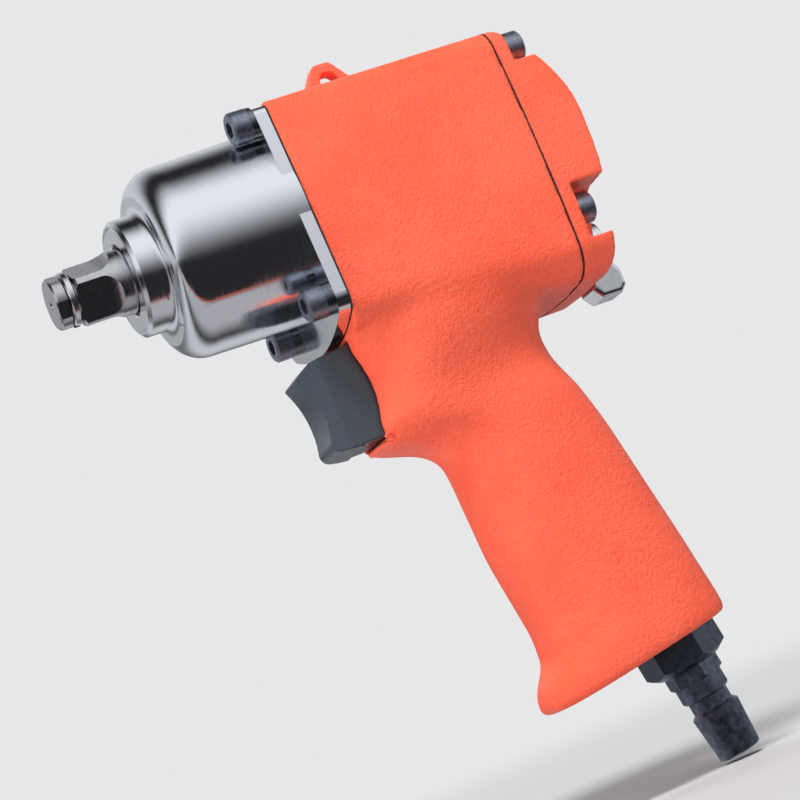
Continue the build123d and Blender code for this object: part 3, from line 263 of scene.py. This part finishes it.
# ---------------------------------------------------------------- node helpers
class Nodes:
    """A node tree, with short calls that add nodes to it."""

    def __init__(self, tree, position):
        self.tree = tree
        self.position = self.node("ShaderNodeTexCoord").outputs[position]

    def node(self, kind, inputs=None, **settings):
        made = self.tree.nodes.new(kind)
        for key, value in settings.items():
            setattr(made, key, value)
        for key, value in (inputs or {}).items():
            self.put(made.inputs[key], value)
        return made

    def put(self, socket, value):
        if isinstance(value, bpy.types.NodeSocket):
            self.tree.links.new(value, socket)
        else:
            socket.default_value = value

    def scaled(self, x, y, z):
        """The position, stretched along the axes."""
        return self.node(
            "ShaderNodeVectorMath", {0: self.position, 1: (x, y, z)}, operation="MULTIPLY"
        ).outputs[0]

    def noise(self, scale, detail=3.0, roughness=0.5, vector=None, distortion=0.0):
        return self.node("ShaderNodeTexNoise", {
            "Vector": vector or self.position, "Scale": scale, "Detail": detail,
            "Roughness": roughness, "Distortion": distortion,
        }).outputs["Fac"]

    def cells(self, scale, vector=None, smoothness=0.6):
        """Rounded cells, 0 in the middle of each."""
        return self.node("ShaderNodeTexVoronoi", {
            "Vector": vector or self.position, "Scale": scale, "Smoothness": smoothness,
        }, feature="SMOOTH_F1").outputs["Distance"]

    def math(self, operation, first, second=0.0, third=0.0):
        return self.node(
            "ShaderNodeMath", {0: first, 1: second, 2: third}, operation=operation
        ).outputs[0]

    def total(self, *values):
        summed = values[0]
        for value in values[1:]:
            summed = self.math("ADD", summed, value)
        return summed

    def ramp(self, value, low, high, out_low=0.0, out_high=1.0):
        """A smooth step from low to high."""
        return self.node("ShaderNodeMapRange", {
            "Value": value, "From Min": low, "From Max": high, "To Min": out_low, "To Max": out_high,
        }, interpolation_type="SMOOTHSTEP").outputs["Result"]

    def mix(self, factor, first, second):
        made = self.node("ShaderNodeMix", data_type="RGBA")
        self.put(made.inputs["Factor"], factor)
        colours = [socket for socket in made.inputs if socket.type == "RGBA"]
        self.put(colours[0], first)
        self.put(colours[1], second)
        return next(socket for socket in made.outputs if socket.type == "RGBA")


# How far a bevelled normal leans from the true one, as 1 less their cosine, where an edge
# starts to show and where it shows fully
EDGE_FROM, EDGE_FULL = 0.02, 0.25
EDGE_SAMPLES = 6


class Shader(Nodes):
    """A material with a Principled shader. Its patterns lie in the object's own frame, so a
    scale is in cells to the metre."""

    def __init__(self, name, **values):
        self.material = bpy.data.materials.new(name)
        self.material.use_nodes = True
        super().__init__(self.material.node_tree, "Object")
        self.surface = self.tree.nodes["Principled BSDF"]
        for key, value in values.items():
            socket = key.replace("_", " ").title().replace("Ior", "IOR")
            self.surface.inputs[socket].default_value = value

    def link(self, name, value):
        self.put(self.surface.inputs[name], value)

    def bump(self, height, distance, strength):
        """Distance is in metres: how far a height of 1 stands out."""
        return self.node("ShaderNodeBump", {
            "Height": height, "Distance": distance, "Strength": strength,
        }).outputs["Normal"]

    def edge(self, radius):
        """1 on edges, within that radius, and 0 elsewhere."""
        bevel = self.node(
            "ShaderNodeBevel", {"Radius": radius}, samples=EDGE_SAMPLES
        ).outputs["Normal"]
        true = self.node("ShaderNodeNewGeometry").outputs["Normal"]
        cosine = self.node(
            "ShaderNodeVectorMath", {0: bevel, 1: true}, operation="DOT_PRODUCT"
        ).outputs["Value"]
        return self.ramp(self.math("SUBTRACT", 1.0, cosine), EDGE_FROM, EDGE_FULL)


# ---------------------------------------------------------------- materials
PAINT = (0.79, 0.090, 0.040, 1)
# a paler tone laid at random in clouds, and a painted highlight on the skin's high places
PAINT_PALE_AND_HIGHLIGHT = (0.88, 0.155, 0.090, 1)
# painted shade for the creases of the skin
PAINT_CREASE_SHADE = (0.56, 0.050, 0.020, 1)
CLOUD_AMOUNT = 0.35                  # how much of PAINT_PALE_AND_HIGHLIGHT the clouds bring
CREST_HIGHLIGHT_AMOUNT = 0.34                  # how much of it lies on the skin's high places, as a painted highlight
CREASE_SHADE_AMOUNT = 0.32                 # how much painted shade, the darkest paint colour, lies in the skin's creases
WANDER = 2.2 * MM                    # how far the skin's pattern is carried off its grid
PEBBLE_SHARE, FINE_SHARE = -0.55, 0.16    # of the skin's height, beside 1 for the creases
SKIN_HEIGHT = 0.17 * MM


def paint_material():
    """Orange-red enamel over a casting, with a leathery skin that has painted shade in its creases
    and a painted highlight on its high places.
    """
    s = Shader("orange_paint")
    wander = s.node("ShaderNodeTexNoise", {"Vector": s.position, "Scale": 260.0, "Detail": 2.0})
    wandered = s.node(
        "ShaderNodeVectorMath", {0: wander.outputs["Color"], 1: (WANDER,) * 3, 2: s.position},
        operation="MULTIPLY_ADD",
    ).outputs[0]
    pebbles = s.ramp(s.cells(scale=1250, vector=wandered), low=0.15, high=0.75)
    creases = s.noise(scale=880, detail=4, roughness=0.62, vector=wandered, distortion=0.3)
    fine = s.noise(scale=2600, detail=2)
    cloud = s.ramp(s.noise(scale=30, detail=4, roughness=0.55), low=0.30, high=0.70)
    # a painted highlight on the skin's high places
    crest_highlight = s.ramp(creases, low=0.52, high=0.75, out_high=CREST_HIGHLIGHT_AMOUNT)
    # painted shade in the skin's creases
    crease_shade = s.ramp(creases, low=0.30, high=0.46, out_low=CREASE_SHADE_AMOUNT, out_high=0.0)
    tone = s.mix(s.math("MULTIPLY", cloud, CLOUD_AMOUNT), PAINT, PAINT_PALE_AND_HIGHLIGHT)
    tone = s.mix(crest_highlight, tone, PAINT_PALE_AND_HIGHLIGHT)
    s.link("Base Color", s.mix(crease_shade, tone, PAINT_CREASE_SHADE))
    gloss = s.noise(scale=220)
    s.link("Roughness", s.ramp(gloss, low=0.3, high=0.7, out_low=0.38, out_high=0.54))
    height = s.total(
        s.math("MULTIPLY", pebbles, PEBBLE_SHARE), creases, s.math("MULTIPLY", fine, FINE_SHARE)
    )
    s.link("Normal", s.bump(height, SKIN_HEIGHT, strength=0.85))
    return s.material


POLISH = (0.84, 0.85, 0.89, 1)
MARK_HEIGHT = 0.014 * MM
PATCH_ROUGHNESS, SCRATCH_ROUGHNESS = 0.06, 0.10    # what duller patches and scratches add


def polished_material():
    """Mirror-polished steel with fine turning marks round the drive axis."""
    s = Shader("polished_case", metallic=1.0, base_color=POLISH, anisotropic=0.3)
    marks = s.noise(scale=2400, roughness=0.65, vector=s.scaled(1, 0.03, 0.03))
    patches = s.ramp(s.noise(scale=48), low=0.42, high=0.66)
    lines = s.noise(scale=60, detail=2, roughness=0.7, vector=s.scaled(1, 14, 3), distortion=0.4)
    scratches = s.ramp(lines, low=0.66, high=0.72)
    s.link("Roughness", s.total(
        s.ramp(marks, low=0.35, high=0.75, out_low=0.06, out_high=0.19),
        s.math("MULTIPLY", patches, PATCH_ROUGHNESS),
        s.math("MULTIPLY", scratches, SCRATCH_ROUGHNESS),
    ))
    s.link("Normal", s.bump(marks, MARK_HEIGHT, strength=0.55))
    return s.material


# Where the mottling of a metal or a plastic starts and is full, in the noise's own values
MOTTLE_FROM, MOTTLE_FULL = 0.3, 0.7
GRAIN_BUMP = 0.5


def shade_of(colour, contrast):
    """The colour, darker by that share."""
    return tuple(c * (1 - contrast) for c in colour[:3]) + (1,)


def metal_material(name, colour, roughness, spread=0.06, grain=900, depth=0.01, contrast=0.28,
                   rim_highlight=None, rim_width=0.30):
    """A metal whose finish is mottled, with a painted highlight on its edges where an edge highlight
    colour is given.

    grain is in cells to the metre, depth and the width of the painted edge highlight are in mm,
    and spread is how far the roughness varies to either side.
    """
    s = Shader(name, metallic=1.0)
    tone = s.noise(scale=grain, roughness=0.6)
    base = s.mix(s.ramp(tone, MOTTLE_FROM, MOTTLE_FULL), shade_of(colour, contrast), colour)
    # a painted highlight on the edges, made patchy by noise
    if rim_highlight:
        broken = s.ramp(s.noise(scale=500), low=0.25, high=0.55)
        base = s.mix(s.math("MULTIPLY", s.edge(rim_width * MM), broken), base, rim_highlight)
    s.link("Base Color", base)
    s.link("Roughness", s.ramp(
        s.noise(scale=grain * 0.6), MOTTLE_FROM, MOTTLE_FULL, roughness - spread, roughness + spread
    ))
    s.link("Normal", s.bump(tone, depth * MM, GRAIN_BUMP))
    return s.material


def plain_material(name, colour, roughness, grain=700, depth=0.02, contrast=0.25):
    """A non-metal with a fine grain, given as for a metal."""
    spread = 0.06
    s = Shader(name)
    tone = s.noise(scale=grain, detail=4, roughness=0.6)
    base = s.mix(s.ramp(tone, MOTTLE_FROM, MOTTLE_FULL), shade_of(colour, contrast), colour)
    s.link("Base Color", base)
    s.link("Roughness", s.ramp(
        s.noise(scale=grain * 0.5), MOTTLE_FROM, MOTTLE_FULL, roughness - spread, roughness + spread
    ))
    s.link("Normal", s.bump(tone, depth * MM, GRAIN_BUMP))
    return s.material


# Where a metal has an edge colour, it is a painted highlight on its edges.
METALS = {
    "drive_steel": dict(
        colour=(0.60, 0.60, 0.62, 1), roughness=0.20, spread=0.05, grain=1800, depth=0.003,
        contrast=0.12,
    ),
    "screw_steel": dict(
        colour=(0.40, 0.45, 0.54, 1), roughness=0.46, spread=0.08, grain=1400, depth=0.02,
        rim_highlight=(0.66, 0.70, 0.76, 1),
    ),
    "black_oxide": dict(
        colour=(0.12, 0.14, 0.18, 1), roughness=0.34, spread=0.08, depth=0.012,
        rim_highlight=(0.40, 0.45, 0.55, 1),
    ),
    "plug_steel": dict(
        colour=(0.22, 0.25, 0.33, 1), roughness=0.42, spread=0.1, grain=700, depth=0.02,
        contrast=0.5, rim_highlight=(0.5, 0.54, 0.62, 1), rim_width=0.4,
    ),
    "nickel": dict(colour=(0.84, 0.85, 0.87, 1), roughness=0.20, grain=500, contrast=0.1),
    "hardened_steel": dict(colour=(0.45, 0.45, 0.46, 1), roughness=0.3),
    "spring_steel": dict(colour=(0.3, 0.31, 0.33, 1), roughness=0.3),
    "bronze": dict(colour=(0.60, 0.40, 0.18, 1), roughness=0.35),
    "sintered": dict(
        colour=(0.45, 0.36, 0.22, 1), roughness=0.6, spread=0.08, grain=2600, depth=0.12,
    ),
}
PLAINS = {
    "gasket": dict(colour=(0.02, 0.02, 0.022, 1), roughness=0.7),
    "laminate": dict(colour=(0.25, 0.14, 0.06, 1), roughness=0.6, grain=1500),
    "trigger_plastic": dict(
        colour=(0.040, 0.050, 0.064, 1), roughness=0.27, grain=2200, depth=0.003, contrast=0.15,
    ),
}
WEARERS = {
    "orange_paint": ("motor_housing", "rear_cover", "trigger_pin"),
    "polished_case": ("hammer_case", "nose_ring"),
    "drive_steel": ("anvil",),
    "nickel": ("friction_ring", "reverse_lever"),
    "screw_steel": ("front_bolts", "rear_bolts", "lever_screw"),
    "spring_steel": ("front_spring_washers", "rear_spring_washers", "throttle_spring"),
    "black_oxide": ("inlet_bushing",),
    "plug_steel": ("air_plug",),
    "sintered": ("exhaust_muffler",),
    "gasket": ("front_gasket", "rear_gasket", "friction_o_ring"),
    "laminate": ("rotor_vanes",),
    "trigger_plastic": ("trigger",),
    "bronze": ("anvil_bushing", "stem_guide", "throttle_seat", "reverse_valve", "inlet_screen"),
    "hardened_steel": (
        "hammer_frame", "hammer_pins", "rear_hammer", "front_hammer", "front_end_plate",
        "rear_end_plate", "front_bearing", "rear_bearing", "cylinder_liner", "cylinder_dowel",
        "rotor", "trigger_stem", "throttle_valve",
    ),
}


def dress():
    """Gives every CAD node its material."""
    materials = {"orange_paint": paint_material(), "polished_case": polished_material()}
    for name, look in METALS.items():
        materials[name] = metal_material(name, **look)
    for name, look in PLAINS.items():
        materials[name] = plain_material(name, **look)
    for name, wearers in WEARERS.items():
        for wearer in wearers:
            mesh = NODES[wearer].data
            mesh.materials.clear()
            mesh.materials.append(materials[name])


# ---------------------------------------------------------------- studio
FLOOR_DROP = 1.0 * MM
FLOOR_RADIUS = 1.5
FLOOR_FULL, FLOOR_GONE = 0.10, 0.75  # how far from its middle the floor starts and ends fading
FLOOR_GREY = (0.45, 0.45, 0.455, 1)
FLOOR_SHIFT = -0.03                  # its middle lies this far behind the camera's target
PALE = (0.80, 0.80, 0.81, 1)
AIM = Vector((FACE_X, 0, -0.02))     # what the softboxes face


def add_floor():
    """A pale floor that fades into the pale surround."""
    mesh = bpy.data.meshes.new("floor")
    shape = bmesh.new()
    bmesh.ops.create_circle(shape, cap_ends=True, segments=96, radius=FLOOR_RADIUS)
    shape.to_mesh(mesh)
    shape.free()
    floor = bpy.data.objects.new("floor", mesh)
    floor.location = (VIEW_TARGET.x + FLOOR_SHIFT, 0, LOWEST_Z - FLOOR_DROP)
    bpy.context.scene.collection.objects.link(floor)
    s = Shader("floor", base_color=FLOOR_GREY, roughness=1.0, specular_ior_level=0.0)
    distance = s.node("ShaderNodeVectorMath", {0: s.position}, operation="LENGTH").outputs["Value"]
    s.link("Alpha", s.ramp(distance, FLOOR_FULL, FLOOR_GONE, out_low=1.0, out_high=0.0))
    mesh.materials.append(s.material)
    floor.visible_glossy = False


def add_softbox(name, place, size, power):
    """A rectangular softbox that faces the tool. Metal doesn't see it: it sees PANELS."""
    data = bpy.data.lights.new(name, "AREA")
    data.shape, data.size, data.size_y, data.energy = "RECTANGLE", size[0], size[1], power
    lamp = bpy.data.objects.new(name, data)
    lamp.location = place
    lamp.rotation_mode = "QUATERNION"
    lamp.rotation_quaternion = (AIM - Vector(place)).to_track_quat("-Z", "Y")
    lamp.visible_camera = False
    lamp.visible_glossy = False
    bpy.context.scene.collection.objects.link(lamp)


def add_lights():
    """The softboxes, each with its place, its width and height, and its power in watts."""
    add_softbox("key_softbox", (0.10, 0.55, 1.0), (0.45, 0.35), 20)
    add_softbox("fill_softbox", (-0.3, 1.1, 0.15), (0.8, 0.8), 5)
    add_softbox("front_softbox", (0.8, 0.10, -0.15), (0.5, 0.5), 9)
    add_softbox("back_softbox", (-0.1, -0.7, 0.8), (1.0, 0.5), 7)


# What polished metal sees of the room, in degrees round the drive axis, from the camera's side
# (0) over the top (90): where each panel starts, is full, ends being full, and is gone; how
# bright it is; and its tint.
COOL = (0.94, 0.96, 1.0, 1)
LAVENDER = (0.95, 0.95, 1.0, 1)
CARD_RED = (1.0, 0.22, 0.14, 1)
PANELS = (
    (-20, 40, 54, 98, 0.96, COOL),         # the key panel, above the camera
    (106, 146, 152, 192, 0.66, COOL),      # the back panel
    (176, 206, 214, 236, 0.62, COOL),      # the far edge of the floor
    (228, 262, 288, 291, 0.46, LAVENDER),  # the floor under the tool
    (290, 291, 292, 294, 0.55, CARD_RED),  # the red edge of the near card
)
WRAP_FROM = -30                          # angles run from here, so that no panel is split
ROOM_DARK = 0.022
ROOM_BLUE = 1.15                         # how much bluer than grey the dark gaps are
EVEN_COLOUR, EVEN_STRENGTH = (0.5, 0.5, 0.52, 1), 0.3


def add_world():
    """Pale to the camera. Metal sees bright panels and dark gaps between them, and the rest is
    even light."""
    world = bpy.data.worlds.new("studio")
    bpy.context.scene.world = world
    world.use_nodes = True
    s = Nodes(world.node_tree, "Generated")
    axes = s.node("ShaderNodeSeparateXYZ", {0: s.position}).outputs
    angle = s.math("DEGREES", s.math("ARCTAN2", axes["Z"], axes["Y"]))
    angle = s.math("WRAP", angle, WRAP_FROM + 360, WRAP_FROM)
    colour = (ROOM_DARK, ROOM_DARK, ROOM_DARK * ROOM_BLUE, 1)
    for start, full, fading, gone, brightness, tint in PANELS:
        rise = s.ramp(angle, start, full)
        fall = s.ramp(angle, fading, gone, out_low=1.0, out_high=0.0)
        lit = tuple(brightness * c for c in tint[:3]) + (1,)
        colour = s.mix(s.math("MULTIPLY", rise, fall), colour, lit)
    reflected = s.node("ShaderNodeBackground", {"Color": colour}).outputs[0]
    seen = s.node("ShaderNodeBackground", {"Color": PALE}).outputs[0]
    even = s.node(
        "ShaderNodeBackground", {"Color": EVEN_COLOUR, "Strength": EVEN_STRENGTH}
    ).outputs[0]
    path = s.node("ShaderNodeLightPath").outputs
    lighting = s.node(
        "ShaderNodeMixShader", {0: path["Is Glossy Ray"], 1: even, 2: reflected}
    ).outputs[0]
    shown = s.node(
        "ShaderNodeMixShader", {0: path["Is Camera Ray"], 1: lighting, 2: seen}
    ).outputs[0]
    s.put(world.node_tree.nodes["World Output"].inputs["Surface"], shown)


bpy.context.scene.view_settings.view_transform = "Standard"
add_camera()
dress()
skin(
    "motor_housing", "housing", voxel=0.5 * MM, rounds=3,
    blends=((grip_blend, GRIP_ROUNDS), (guard_blend, GUARD_ROUNDS)),
)
skin("rear_cover", "housing", voxel=0.40 * MM, rounds=3)
skin("trigger", "trigger", voxel=0.22 * MM, rounds=4)
skin("reverse_lever", "reverser", voxel=0.20 * MM, rounds=3)
add_spring()
add_floor()
add_lights()
add_world()
